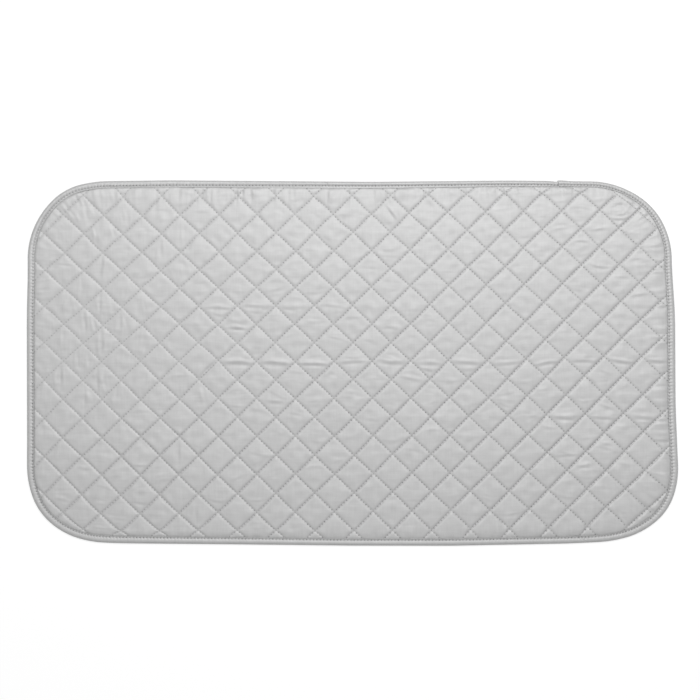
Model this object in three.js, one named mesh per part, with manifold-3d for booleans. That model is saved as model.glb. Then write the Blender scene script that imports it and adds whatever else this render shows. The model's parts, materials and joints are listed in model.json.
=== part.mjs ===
// A quilted ironing pad in millimetres, +Z up, lying flat with its underside at z = 0.
// A silver cloth cover, a felt batting and a plain backing are sewn together in diamonds, and a
// folded tape binds their edge. X runs along the pad and Y across it, and the storage fold lies
// along the X axis, so every piece that crosses the fold is built as a front and a rear half.
import * as THREE from 'three';
import { mergeVertices } from 'three/addons/utils/BufferGeometryUtils.js';
import Module from 'manifold-3d';

const wasm = await Module();
wasm.setup();

// Outline of the bound pad
const PAD_LENGTH = 850;
const PAD_WIDTH = 480;
const CORNER_RADIUS = 105;
const CORNER_STEPS = 9;

// Quilting: diagonals of one diamond, and where a crossing lies on the fold line
const DIAMOND_LENGTH = 50.6;
const DIAMOND_WIDTH = 49;
const CROSSING_X = 28.2;

// Cloth layers, and the batting's thickness under the tape, in the seams and at the crowns
const COVER_THICKNESS = 0.4;
const BACKING_THICKNESS = 0.4;
const BATTING_AT_EDGE = 0.8;
const BATTING_IN_SEAM = 1.6;
const BATTING_AT_CROWN = 4.1;
const LAYER_GAP = 0.3;

// Binding tape, folded round the edge, and the slopes where the layers are drawn into it
const TAPE_THICKNESS = 0.5;
const TAPE_REACH = 9;
const TAPE_BEND = 0.8;
const COVER_SLOPE_RUN = 14;
const BACKING_SLOPE_RUN = 5;

// Sewing threads, each a roof-shaped run
const QUILTING_THREAD_WIDTH = 0.9;
const QUILTING_THREAD_HEIGHT = 0.6;
const BINDING_THREAD_WIDTH = 0.9;
const BINDING_THREAD_HEIGHT = 0.6;
const BINDING_THREAD_INSET = 5.5;

// Slit between the two halves at the storage fold
const FOLD_GAP = 0.3;

// Heights that follow from the layers, from the floor up
const backingEdgeZ = TAPE_THICKNESS + LAYER_GAP;
const battingEdgeZ = backingEdgeZ + BACKING_THICKNESS + LAYER_GAP;
const coverEdgeZ = battingEdgeZ + BATTING_AT_EDGE + LAYER_GAP + COVER_THICKNESS;
const tapeTopZ = coverEdgeZ + LAYER_GAP + TAPE_THICKNESS;
const battingFlatZ = BACKING_THICKNESS + LAYER_GAP;
const coverOverBatting = LAYER_GAP + COVER_THICKNESS;
const seamZ = battingFlatZ + BATTING_IN_SEAM + coverOverBatting;
const crownZ = battingFlatZ + BATTING_AT_CROWN + coverOverBatting;

// Insets from the outline: the layers' cut edge inside the tape, and the field inside the tape
const cutInset = TAPE_THICKNESS + LAYER_GAP;
const fieldInset = TAPE_REACH + LAYER_GAP;

// Depth below the floor and height above the crown where cutting solids end
const CUT_MARGIN = 3;

// Tightest corner of an inset outline
const LEAST_RADIUS = 1;

// Closed geometry from points and triangles
function closedGeometry(points, triangles) {
  const geometry = new THREE.BufferGeometry();
  geometry.setAttribute('position', new THREE.Float32BufferAttribute(points.flat(), 3));
  geometry.setIndex(triangles.flat());
  return geometry;
}

function solidFrom(geometry) {
  geometry.deleteAttribute('normal');
  geometry.deleteAttribute('uv');
  const merged = mergeVertices(geometry);
  const vertProperties = new Float32Array(merged.attributes.position.array);
  const triVerts = new Uint32Array(merged.index.array);
  return new wasm.Manifold(new wasm.Mesh({ numProp: 3, vertProperties, triVerts }));
}

function geometryFrom(solid) {
  const mesh = solid.getMesh();
  const geometry = new THREE.BufferGeometry();
  geometry.setAttribute('position', new THREE.Float32BufferAttribute(mesh.vertProperties, 3));
  geometry.setIndex(Array.from(mesh.triVerts));
  geometry.computeVertexNormals();
  return geometry;
}

// The rounded outline, counter-clockwise from above, moved inwards by an inset
function outlinePoints(inset) {
  const radius = Math.max(CORNER_RADIUS - inset, LEAST_RADIUS);
  const centreX = PAD_LENGTH / 2 - inset - radius;
  const centreY = PAD_WIDTH / 2 - inset - radius;
  const corners = [[1, 1], [-1, 1], [-1, -1], [1, -1]];
  return corners.flatMap(([sideX, sideY], quarter) => {
    const arc = [];
    for (let step = 0; step <= CORNER_STEPS; step += 1) {
      const angle = (Math.PI / 2) * (quarter + step / CORNER_STEPS);
      arc.push([
        sideX * centreX + radius * Math.cos(angle),
        sideY * centreY + radius * Math.sin(angle),
      ]);
    }
    return arc;
  });
}

// Rings of [inset, z] round the outline, skinned in order, either capped or closed into a loop
function sweepOutline(rings, closedLoop) {
  const points = rings.flatMap(([inset, z]) => outlinePoints(inset).map(([x, y]) => [x, y, z]));
  const around = points.length / rings.length;
  const triangles = [];
  const lastBand = closedLoop ? rings.length : rings.length - 1;
  for (let band = 0; band < lastBand; band += 1) {
    const low = band * around;
    const high = ((band + 1) % rings.length) * around;
    for (let i = 0; i < around; i += 1) {
      const next = (i + 1) % around;
      triangles.push([low + i, low + next, high + next], [low + i, high + next, high + i]);
    }
  }
  if (!closedLoop) {
    const top = (rings.length - 1) * around;
    for (let i = 1; i < around - 1; i += 1) {
      triangles.push([0, i + 1, i], [top, top + i, top + i + 1]);
    }
  }
  return solidFrom(closedGeometry(points, triangles));
}

// Crossings are counted along the two seam directions, u and v
function crossing(u, v) {
  return [CROSSING_X + ((u + v) / 2) * DIAMOND_LENGTH, ((u - v) / 2) * DIAMOND_WIDTH];
}

const seamReach = Math.ceil(
  (PAD_LENGTH / 2 + Math.abs(CROSSING_X)) / DIAMOND_LENGTH + PAD_WIDTH / 2 / DIAMOND_WIDTH,
) + 1;

// A block under a quilted surface: each diamond rises from its seams to a crown at its centre
function quiltedBlock(lowZ, highZ) {
  const points = [];
  const triangles = [];
  const addPoint = (x, y, z) => points.push([x, y, z]) - 1;
  const count = 2 * seamReach + 1;
  const grid = (z) => {
    const first = points.length;
    for (let row = 0; row < count; row += 1) {
      for (let column = 0; column < count; column += 1) {
        addPoint(...crossing(row - seamReach, column - seamReach), z);
      }
    }
    return (row, column) => first + row * count + column;
  };
  const seam = grid(lowZ);
  const base = grid(-CUT_MARGIN);
  for (let row = 0; row < count - 1; row += 1) {
    for (let column = 0; column < count - 1; column += 1) {
      const corners = [[0, 0], [1, 0], [1, 1], [0, 1]].map(([r, c]) => [row + r, column + c]);
      const rim = corners.map((corner) => seam(...corner));
      const foot = corners.map((corner) => base(...corner));
      const crown = addPoint(...crossing(row + 0.5 - seamReach, column + 0.5 - seamReach), highZ);
      rim.forEach((from, i) => triangles.push([rim[(i + 1) % 4], from, crown]));
      triangles.push([foot[0], foot[1], foot[2]], [foot[0], foot[2], foot[3]]);
    }
  }
  const wall = (from, to) => triangles.push(
    [base(...from), seam(...to), seam(...from)],
    [base(...from), base(...to), seam(...to)],
  );
  const last = count - 1;
  for (let i = 0; i < last; i += 1) {
    wall([0, i], [0, i + 1]);
    wall([i + 1, 0], [i, 0]);
    wall([last, i + 1], [last, i]);
    wall([i, last], [i + 1, last]);
  }
  return solidFrom(closedGeometry(points, triangles));
}

// The space under the cover's surface, lowered by a drop: quilted in the field and drawn down at
// the tape. Its underside is given as rings, and its cut edge lies at an inset.
function padFill(drop, edgeInset, underRings) {
  const topRings = [
    [edgeInset, coverEdgeZ - drop],
    [fieldInset, coverEdgeZ - drop],
    [fieldInset + COVER_SLOPE_RUN, crownZ - drop + LAYER_GAP],
  ];
  const envelope = sweepOutline([...underRings, ...topRings], false);
  return quiltedBlock(seamZ - drop, crownZ - drop).intersect(envelope);
}

function makeTopCover() {
  const outer = padFill(0, cutInset, [[cutInset, 0]]);
  const hollowInset = cutInset - LAYER_GAP;
  const inner = padFill(COVER_THICKNESS, hollowInset, [[hollowInset, -CUT_MARGIN / 2]]);
  return outer.subtract(inner);
}

function makeBatting() {
  return padFill(coverOverBatting, cutInset, [
    [fieldInset + BACKING_SLOPE_RUN, battingFlatZ],
    [fieldInset, battingEdgeZ],
    [cutInset, battingEdgeZ],
  ]);
}

function makeBacking() {
  return sweepOutline([
    [fieldInset + BACKING_SLOPE_RUN, 0],
    [fieldInset, backingEdgeZ],
    [cutInset, backingEdgeZ],
    [cutInset, backingEdgeZ + BACKING_THICKNESS],
    [fieldInset, backingEdgeZ + BACKING_THICKNESS],
    [fieldInset + BACKING_SLOPE_RUN, BACKING_THICKNESS],
  ], false);
}

function makeBinding() {
  return sweepOutline([
    [TAPE_REACH, 0],
    [TAPE_BEND, 0],
    [0, TAPE_BEND],
    [0, tapeTopZ - TAPE_BEND],
    [TAPE_BEND, tapeTopZ],
    [TAPE_REACH, tapeTopZ],
    [TAPE_REACH, tapeTopZ - TAPE_THICKNESS],
    [TAPE_THICKNESS, tapeTopZ - TAPE_THICKNESS],
    [TAPE_THICKNESS, TAPE_THICKNESS],
    [TAPE_REACH, TAPE_THICKNESS],
  ], true);
}

function makeBindingThread() {
  const lowZ = tapeTopZ + LAYER_GAP;
  return sweepOutline([
    [BINDING_THREAD_INSET + BINDING_THREAD_WIDTH / 2, lowZ],
    [BINDING_THREAD_INSET - BINDING_THREAD_WIDTH / 2, lowZ],
    [BINDING_THREAD_INSET, lowZ + BINDING_THREAD_HEIGHT],
  ], true);
}

// True where a point lies inside the outline moved inwards by an inset
function insideOutline([x, y], inset) {
  const radius = Math.max(CORNER_RADIUS - inset, LEAST_RADIUS);
  const overX = Math.max(Math.abs(x) - (PAD_LENGTH / 2 - inset - radius), 0);
  const overY = Math.max(Math.abs(y) - (PAD_WIDTH / 2 - inset - radius), 0);
  return Math.hypot(overX, overY) < radius;
}

// The quilting thread as one net: a ridge over each crossing and an arm to each neighbour
function makeQuiltingThread() {
  const lowZ = seamZ + LAYER_GAP;
  const highZ = lowZ + QUILTING_THREAD_HEIGHT;
  const armLength = Math.hypot(DIAMOND_LENGTH, DIAMOND_WIDTH) / 2;
  const east = (QUILTING_THREAD_WIDTH * armLength) / DIAMOND_WIDTH;
  const north = (QUILTING_THREAD_WIDTH * armLength) / DIAMOND_LENGTH;
  const inField = (u, v) => insideOutline(crossing(u, v), fieldInset);
  const hasArm = (u, v, nextU, nextV) => inField(u, v) || inField(nextU, nextV);
  const points = [];
  const triangles = [];
  const knots = new Map();
  const knot = (u, v) => {
    const key = `${u},${v}`;
    if (!knots.has(key)) {
      const [x, y] = crossing(u, v);
      const first = points.length;
      points.push([x, y, highZ], [x + east, y, lowZ], [x, y + north, lowZ]);
      points.push([x - east, y, lowZ], [x, y - north, lowZ]);
      knots.set(key, { u, v, ridge: first, e: first + 1, n: first + 2, w: first + 3, s: first + 4 });
    }
    return knots.get(key);
  };
  const face = (a, b, c, d) => triangles.push([a, b, c], [a, c, d]);
  for (let u = -seamReach; u < seamReach; u += 1) {
    for (let v = -seamReach; v < seamReach; v += 1) {
      if (hasArm(u, v, u + 1, v)) {
        const [from, to] = [knot(u, v), knot(u + 1, v)];
        face(from.ridge, from.e, to.s, to.ridge);
        face(from.ridge, to.ridge, to.w, from.n);
        face(from.e, from.n, to.w, to.s);
      }
      if (hasArm(u, v, u, v + 1)) {
        const [from, to] = [knot(u, v), knot(u, v + 1)];
        face(from.ridge, to.ridge, to.n, from.e);
        face(from.ridge, from.s, to.w, to.ridge);
        face(from.s, from.e, to.n, to.w);
      }
    }
  }
  knots.forEach(({ u, v, ridge, e, n, w, s }) => {
    face(e, s, w, n);
    const ends = [[u + 1, v, e, n], [u, v - 1, n, w], [u - 1, v, w, s], [u, v + 1, s, e]];
    ends.filter(([nextU, nextV]) => !hasArm(u, v, nextU, nextV))
      .forEach(([, , from, to]) => triangles.push([ridge, from, to]));
  });
  const field = sweepOutline([[fieldInset, 0], [fieldInset, crownZ + CUT_MARGIN]], false);
  return solidFrom(closedGeometry(points, triangles)).intersect(field);
}

// One side of the fold, as a block that cuts a whole piece down to its half
function halfBlock(side) {
  const height = crownZ + 4 * CUT_MARGIN;
  const block = new THREE.BoxGeometry(2 * PAD_LENGTH, PAD_WIDTH, height);
  block.translate(0, side * (PAD_WIDTH / 2 + FOLD_GAP / 2), crownZ / 2);
  return solidFrom(block);
}

const silverCloth = new THREE.MeshStandardMaterial({ color: 0xc8c8c8, roughness: 0.55, metalness: 0.1 });
const silverTape = new THREE.MeshStandardMaterial({ color: 0xc2c2c2, roughness: 0.6, metalness: 0.1 });
const feltBatting = new THREE.MeshStandardMaterial({ color: 0xe6e3da, roughness: 0.95, metalness: 0 });
const greyBacking = new THREE.MeshStandardMaterial({ color: 0xadadab, roughness: 0.85, metalness: 0 });
const sewingThread = new THREE.MeshStandardMaterial({ color: 0xa4a4a4, roughness: 0.8, metalness: 0 });

const wholePieces = {
  top_cover: [makeTopCover(), silverCloth],
  batting: [makeBatting(), feltBatting],
  backing: [makeBacking(), greyBacking],
  binding: [makeBinding(), silverTape],
  quilting_thread: [makeQuiltingThread(), sewingThread],
  binding_thread: [makeBindingThread(), sewingThread],
};

const pad = new THREE.Group();
const halves = { front: -1, rear: 1 };
Object.entries(halves).forEach(([half, side]) => {
  const block = halfBlock(side);
  Object.entries(wholePieces).forEach(([piece, [whole, material]]) => {
    const mesh = new THREE.Mesh(geometryFrom(whole.intersect(block)), material);
    mesh.name = `${half}_${piece}`;
    pad.add(mesh);
  });
});

export default pad;
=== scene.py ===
"""A quilted ironing pad lying flat: silver cloth sewn through felt in diamonds, with a bound edge."""

import json
import math
from functools import partial

import bpy
import numpy as np
from mathutils import Matrix, Vector


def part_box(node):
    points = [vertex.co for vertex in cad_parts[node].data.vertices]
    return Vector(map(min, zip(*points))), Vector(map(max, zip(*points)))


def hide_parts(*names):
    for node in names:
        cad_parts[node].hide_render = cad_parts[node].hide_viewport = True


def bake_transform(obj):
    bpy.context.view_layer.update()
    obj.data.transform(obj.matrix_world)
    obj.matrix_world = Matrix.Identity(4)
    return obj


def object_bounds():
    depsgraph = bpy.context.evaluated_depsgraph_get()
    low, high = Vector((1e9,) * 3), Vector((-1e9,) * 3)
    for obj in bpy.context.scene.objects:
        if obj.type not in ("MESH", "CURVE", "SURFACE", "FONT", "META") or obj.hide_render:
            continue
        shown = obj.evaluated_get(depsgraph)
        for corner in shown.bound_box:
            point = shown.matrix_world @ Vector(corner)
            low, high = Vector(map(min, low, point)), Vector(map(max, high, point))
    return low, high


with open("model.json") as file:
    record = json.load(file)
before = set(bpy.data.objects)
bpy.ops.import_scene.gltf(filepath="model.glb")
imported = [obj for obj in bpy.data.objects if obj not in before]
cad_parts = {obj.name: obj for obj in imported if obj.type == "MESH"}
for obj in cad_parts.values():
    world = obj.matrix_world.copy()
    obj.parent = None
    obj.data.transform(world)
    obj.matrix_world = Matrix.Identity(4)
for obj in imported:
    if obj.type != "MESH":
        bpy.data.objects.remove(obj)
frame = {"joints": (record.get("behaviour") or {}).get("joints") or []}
cad_low, cad_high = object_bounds()

# Sizes of the pad, in metres
MM = 0.001
PAD_LENGTH = cad_high.x - cad_low.x
PAD_WIDTH = cad_high.y - cad_low.y
CORNER_RADIUS = 105 * MM
CORE_X = PAD_LENGTH / 2 - CORNER_RADIUS
CORE_Y = PAD_WIDTH / 2 - CORNER_RADIUS
QUARTER_TURN = math.pi / 2 * CORNER_RADIUS
OUTLINE_LENGTH = 4 * (CORE_X + CORE_Y + QUARTER_TURN)

# Quilting: the seams cross in a lattice with one crossing on the fold line, at CROSSING_X
DIAMOND_LENGTH = 50.6 * MM
DIAMOND_WIDTH = 49 * MM
DIAMOND_SIDE = math.hypot(DIAMOND_LENGTH, DIAMOND_WIDTH) / 2
CROSSING_X = 28.2 * MM
LATTICE_REACH = 14
STITCHES_PER_SIDE = 8
STITCH_PITCH = DIAMOND_SIDE / STITCHES_PER_SIDE

# Along a front, a middle and a rear row, from the left to the right: how hard the seams that run towards
# the rear right and the front right were drawn in, and how far the quilting lies off its even lattice to
# the right and to the rear, in millimetres
REARWARD_TIGHTNESS = ((1.35, 1.45, 2.0), (0.5, 1.0, 1.5), (0.8, 0.75, 1.25))
FORWARD_TIGHTNESS = ((1.4, 1.2, 0.9), (0.45, 0.75, 0.5), (0.8, 0.7, 0.6))
SHIFTS_TO_RIGHT = ((1.3, 1.3, 1.3, 0.5, 0.3), (0.0, -0.3, 0.0, -0.8, -0.5), (-1.3, 0.0, -0.7, -1.2, -2.4))
SHIFTS_TO_REAR = ((-4.0, -2.6, -1.4, 0.9, 3.4), (-0.5, -0.2, -0.8, 0.2, 5.0), (-2.6, -2.4, -0.6, 2.0, 4.4))
ROW_END_X = 0.4 * PAD_LENGTH
OUTER_ROW_Y = 0.35 * PAD_WIDTH
EDGE_FADE = 18 * MM

# How far the seams wander at random and over what distance, and what looser seams add to that; from the
# firm tightness on they add nothing
SEAM_WANDER = 1.0 * MM
SEAM_WANDER_SPACING = 48 * MM
LOOSE_SEAM_WANDER = 0.9 * MM
LOOSE_WANDER_SPACING = 17 * MM
FIRM_TIGHTNESS = 1.25

# Where the diamonds lean to the rear: middle and reach along X and Y, and how far each diamond's front
# corner stands up, in millimetres
LEANING_PATCHES = (
    (-260, -110, 120, 40, 0.9),
    (115, -68, 50, 25, 0.5),
    (300, -110, 80, 35, 0.5),
    (357, 196, 25, 18, 0.8),
    (104, 196, 22, 16, 0.7),
)

# Heights of the layers
CLOTH_THICKNESS = 0.4 * MM
LAYER_GAP = 0.2 * MM
THINNEST_BATTING = 0.1 * MM
SEAM_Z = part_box("front_quilting_thread")[0].z - 0.3 * MM
CROWN_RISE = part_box("front_top_cover")[1].z - SEAM_Z
CROWN_LIMIT_Z = frame["joints"][0]["pos_m"][2] - 0.05 * MM
UNDER_SEAM_Z = 0.8 * MM
UNDER_CROWN_Z = 0.05 * MM
UNDER_TAPE_Z = 2.05 * MM

# Shape of a diamond: the shares of the crown's rise in the shoulders at its seams and in the dome between
# them, how square each is, how full the fullest dome is, and how far the tightest seams sink
SHOULDER_SHARE = 0.46
LOOSE_SHOULDER = 7
TIGHT_SHOULDER = 14
DOME_SHARE = 0.12
DOME_SQUARENESS = 2.2
FULLEST_DOME = 1.3
UNDERSIDE_SQUARENESS = 5
TIGHT_SEAM_SINK = 0.45 * MM

# The binding: how far it reaches in over the cover, on the whole and at random; then, in millimetres at
# eight even places round the outline from the middle of the front edge, that reach, where the stitches
# run, how far past them they hold the cover down, and over what distance it then comes to its full height
TAPE_REACH = 9 * MM
TAPE_WANDER = 0.4 * MM
TAPE_WANDER_SPACING = 23 * MM
TAPE_REACHES = (9.0, 9.2, 9.8, 7.4, 9.2, 9.2, 9.6, 9.4)
TAPE_STITCH_INSETS = (6.9, 7.3, 8.4, 5.6, 6.3, 6.8, 7.7, 7.6)
HOLDS = (0.6, 0.6, 0.8, 1.2, 2.2, 1.8, 0.6, 0.6)
DRAW_INS = (13.0, 13.0, 20.0, 18.0, 20.0, 14.0, 6.0, 11.0)
TAPE_STITCH_PITCH = OUTLINE_LENGTH / round(OUTLINE_LENGTH / STITCH_PITCH)

# How far inside the outline the cloth and the batting are cut, and how far past the tape the underside
# and past its hold the seams take to come to their full height
COVER_CUT = 1.2 * MM
BATTING_CUT = 2.4 * MM
UNDER_DRAW_IN = 6 * MM
SEAM_DRAW_IN = 1.6 * MM


# Plan of the outline and of the quilting

def smooth_step(t):
    t = np.clip(t, 0, 1)
    return t * t * (3 - 2 * t)


def bump(away, reach):
    """1 at no distance, fading to almost nothing at twice the reach."""
    return np.exp(-(away / reach) ** 2)


def in_patch(x, y, middle_x, middle_y, reach_x, reach_y):
    """1 in the middle of a patch that is given in millimetres, fading away round it."""
    return bump(x / MM - middle_x, reach_x) * bump(y / MM - middle_y, reach_y)


def soft_noise(x, y, spacing_x, spacing_y, seed):
    """Smooth random values between -1 and 1, drawn on a grid of the given spacings."""
    size = 512
    table = np.random.default_rng(seed).uniform(-1, 1, (size, size))
    column, right = np.divmod(x / spacing_x, 1)
    row, up = np.divmod(y / spacing_y, 1)
    right, up = smooth_step(right), smooth_step(up)
    total = 0
    for step_x, weight_x in ((0, 1 - right), (1, right)):
        for step_y, weight_y in ((0, 1 - up), (1, up)):
            drawn = table[(column.astype(int) + step_x) % size, (row.astype(int) + step_y) % size]
            total = total + weight_x * weight_y * drawn
    return total


def nearest_core(x, y):
    """The nearest point of the core, which the outline runs round at its corner radius."""
    return np.clip(x, -CORE_X, CORE_X), np.clip(y, -CORE_Y, CORE_Y)


def inset_from_edge(x, y):
    """How far inside the pad's outline each point lies."""
    past_x = np.abs(x) - CORE_X
    past_y = np.abs(y) - CORE_Y
    outside = np.hypot(np.maximum(past_x, 0), np.maximum(past_y, 0))
    return CORNER_RADIUS - outside - np.minimum(np.maximum(past_x, past_y), 0)


def outline_at(along, inset):
    """Points round the outline, along it from the middle of the front edge, and inset from it."""
    runs = [CORE_X] + [QUARTER_TURN, 2 * CORE_Y, QUARTER_TURN, 2 * CORE_X] * 2
    runs[-1] = CORE_X
    ends = np.concatenate(([0], np.cumsum(runs)))
    quarters = np.array((0, 0, 1, 1, 2, 2, 3, 3, 4, 4))
    side_x = np.array((0, 1, 1, 1, 1, -1, -1, -1, -1, 0))
    side_y = np.array((-1, -1, -1, 1, 1, 1, 1, -1, -1, -1))
    along = np.mod(along, OUTLINE_LENGTH)
    heading = np.interp(along, ends, quarters * math.pi / 2)
    x = np.interp(along, ends, side_x * CORE_X) + np.sin(heading) * (CORNER_RADIUS - inset)
    y = np.interp(along, ends, side_y * CORE_Y) - np.cos(heading) * (CORNER_RADIUS - inset)
    return x, y


def distance_along_edge(x, y):
    """The nearest outline point's distance along it from the middle of the front edge."""
    core_x, core_y = nearest_core(x, y)
    heading = np.mod(np.arctan2(y - core_y, x - core_x) + math.pi / 2, 2 * math.pi)
    side = np.mod(np.rint(heading / (math.pi / 2)), 4).astype(int)
    heading = np.where((side == 0) & (heading > math.pi), heading - 2 * math.pi, heading)
    travel = np.choose(side, (
        core_x,
        CORE_X + CORE_Y + core_y,
        2 * CORE_X + 2 * CORE_Y - core_x,
        3 * CORE_X + 3 * CORE_Y - core_y,
    ))
    return np.mod(CORNER_RADIUS * heading + travel, OUTLINE_LENGTH)


def edge_value(along, values):
    """A value at each place along the outline, given at even steps from the middle of the front edge."""
    places = np.arange(len(values)) * OUTLINE_LENGTH / len(values)
    return np.interp(along, places, values, period=OUTLINE_LENGTH)


def tape_reach(along):
    """How far the tape reaches in over the cover, with its inner edge wandering a little."""
    wander = TAPE_WANDER * soft_noise(along, 0 * along, TAPE_WANDER_SPACING, 1, 5)
    return edge_value(along, TAPE_REACHES) * MM + wander


def tape_stitch_inset(along):
    return edge_value(along, TAPE_STITCH_INSETS) * MM


def lattice_place(u, v):
    """The plan of a point counted in diamonds along the two seam directions."""
    return CROSSING_X + (u + v) / 2 * DIAMOND_LENGTH, (u - v) / 2 * DIAMOND_WIDTH


def seam_grid(steps):
    """A grid that runs along the seams, this many steps to a diamond's side and closer at the seams."""
    crowding = 0.3
    even = np.linspace(-LATTICE_REACH, LATTICE_REACH, 2 * LATTICE_REACH * steps + 1)
    line = even - crowding * np.sin(2 * math.pi * even) / (2 * math.pi)
    u, v = np.meshgrid(line, line, indexing="ij")
    x, y = lattice_place(u, v)
    return x, y, u, v


def trimmed(x, y, cut):
    """Draws the grid's outer points onto the outline's inset by cut, and gives the quads inside it."""
    inside = inset_from_edge(x, y) >= cut
    index = np.arange(x.size).reshape(x.shape)
    corners = (index[:-1, :-1], index[:-1, 1:], index[1:, 1:], index[1:, :-1])
    quads = np.stack(corners, axis=-1).reshape(-1, 4)
    quads = quads[inside.ravel()[quads].any(axis=1)]
    core_x, core_y = nearest_core(x, y)
    away = np.maximum(np.hypot(x - core_x, y - core_y), 1e-9)
    pull = np.where(inside, 1, (CORNER_RADIUS - cut) / away)
    return core_x + (x - core_x) * pull, core_y + (y - core_y) * pull, quads


def across_diamond(u, v):
    """Where a point lies in its diamond, from -1 at one seam to 1 at the opposite one, in both directions."""
    return 2 * (u - np.floor(u)) - 1, 2 * (v - np.floor(v)) - 1


def pillow(u, v, squareness):
    """0 on a seam and 1 over the middle of a diamond."""
    across_u, across_v = across_diamond(u, v)
    return (1 - np.abs(across_u) ** squareness) * (1 - np.abs(across_v) ** squareness)


def diamond_of(u, v):
    """The row and column of each point's diamond in a table with one entry for each diamond."""
    last = 2 * LATTICE_REACH
    row = np.clip(np.floor(u).astype(int) + LATTICE_REACH, 0, last)
    column = np.clip(np.floor(v).astype(int) + LATTICE_REACH, 0, last)
    return row, column


def over_pad(x, y, rows):
    """A value at each point, given along a front, a middle and a rear row."""
    columns = np.linspace(-ROW_END_X, ROW_END_X, len(rows[0]))
    front, middle, rear = (np.interp(x, columns, row) for row in rows)
    towards_rear = np.clip(y / OUTER_ROW_Y, -1, 1)
    return middle + np.where(towards_rear > 0, rear - middle, front - middle) * np.abs(towards_rear)


def outwards(x, y):
    """The way straight out to the nearest edge, as its parts along X and Y."""
    core_x, core_y = nearest_core(x, y)
    out = np.maximum(np.hypot(x - core_x, y - core_y), 1e-9)
    return (x - core_x) / out, (y - core_y) / out


def seam_shift(x, y):
    """How far a point of the quilting lies off its even lattice, to the right and to the rear: near the
    edge only along it."""
    loose = LOOSE_SEAM_WANDER * np.clip(1.2 * (FIRM_TIGHTNESS - np.maximum(*tightness(x, y))), 0, 1)
    shifts = []
    for rows, seed in ((SHIFTS_TO_RIGHT, 41), (SHIFTS_TO_REAR, 42)):
        wander = SEAM_WANDER * soft_noise(x, y, SEAM_WANDER_SPACING, SEAM_WANDER_SPACING, seed)
        loose_wander = loose * soft_noise(x, y, LOOSE_WANDER_SPACING, LOOSE_WANDER_SPACING, seed + 2)
        shifts.append(over_pad(x, y, rows) * MM + wander + loose_wander)
    to_right, to_rear = shifts
    out_x, out_y = outwards(x, y)
    at_edge = 1 - smooth_step((inset_from_edge(x, y) - TAPE_REACH) / EDGE_FADE)
    over_edge = at_edge * (to_right * out_x + to_rear * out_y)
    return to_right - over_edge * out_x, to_rear - over_edge * out_y


def past_hold(x, y):
    """How far each point lies inside the line where the tape's stitches stop holding the cover down."""
    along = distance_along_edge(x, y)
    return inset_from_edge(x, y) - tape_stitch_inset(along) - edge_value(along, HOLDS) * MM


def field_share(x, y):
    """0 under the tape's stitches and 1 where the quilting has its full height, rising steeply at first."""
    draw_in = edge_value(distance_along_edge(x, y), DRAW_INS) * MM
    return 1 - (1 - np.clip(past_hold(x, y) / draw_in, 0, 1)) ** 3


def tightness(x, y):
    """How hard the seams that run towards the rear right and the front right are drawn in at each point."""
    return over_pad(x, y, REARWARD_TIGHTNESS), over_pad(x, y, FORWARD_TIGHTNESS)


def sewn_height(x, y):
    """The cover's height along its seams, and under the tape."""
    tight = np.maximum(*tightness(x, y))
    sewn = SEAM_Z - TIGHT_SEAM_SINK * np.interp(tight, (1, 1.75), (0, 1))
    return UNDER_TAPE_Z + smooth_step(past_hold(x, y) / SEAM_DRAW_IN) * (sewn - UNDER_TAPE_Z)


def lean_to_rear(x, y):
    """How far the front corner of a diamond at each point stands up, and its rear corner lies down."""
    total = np.zeros_like(x)
    for *patch, lean in LEANING_PATCHES:
        total += lean * MM * in_patch(x, y, *patch)
    return total


def quilted_height(x, y, u, v):
    """The cover's height as it was sewn: narrow shoulders at the seams and a low, uneven dome between."""
    seed = np.random.default_rng(3)
    diamonds = (2 * LATTICE_REACH + 1,) * 2
    diamond = diamond_of(u, v)
    fullness = seed.uniform(0.75, 1.25, diamonds)[diamond]
    lean_u = seed.uniform(-0.45, 0.45, diamonds)[diamond]
    lean_v = seed.uniform(-0.45, 0.45, diamonds)[diamond]
    across_u, across_v = across_diamond(u, v)
    dome = pillow(u, v, DOME_SQUARENESS) * fullness * (1 + lean_u * across_u + lean_v * across_v)
    rearward, forward = tightness(x, y)
    tight = np.maximum(rearward, forward)
    squareness = np.interp(tight, (0.5, 1.1), (LOOSE_SHOULDER, TIGHT_SHOULDER))
    shoulder = 1 - forward / tight * np.abs(across_u) ** squareness
    shoulder = shoulder * (1 - rearward / tight * np.abs(across_v) ** squareness)
    rise = CROWN_RISE * tight * (SHOULDER_SHARE * shoulder + DOME_SHARE * dome)
    rise = rise + lean_to_rear(x, y) * shoulder * (across_v - across_u) / 2
    return sewn_height(x, y) + field_share(x, y) * rise


def fullest_height(x, y):
    """As high as the sewn cover comes anywhere near each point."""
    fullest = np.maximum(*tightness(x, y)) * (SHOULDER_SHARE + FULLEST_DOME * DOME_SHARE)
    return sewn_height(x, y) + field_share(x, y) * CROWN_RISE * fullest


def underside_height(x, y, u, v):
    """The backing's height underneath: quilted downwards, but flat under the tape."""
    field = smooth_step((inset_from_edge(x, y) - TAPE_REACH) / UNDER_DRAW_IN)
    return UNDER_SEAM_Z + (UNDER_CROWN_Z - UNDER_SEAM_Z) * field * pillow(u, v, UNDERSIDE_SQUARENESS)


# Meshes

def new_object(name, data):
    """An object with this data, put into the scene."""
    made = bpy.data.objects.new(name, data)
    bpy.context.scene.collection.objects.link(made)
    return made


def points_of(mesh):
    """The places of a mesh's points, one in each row."""
    places = np.zeros(len(mesh.vertices) * 3, np.float32)
    mesh.vertices.foreach_get("co", places)
    return places.reshape(-1, 3).astype(float)


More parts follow.
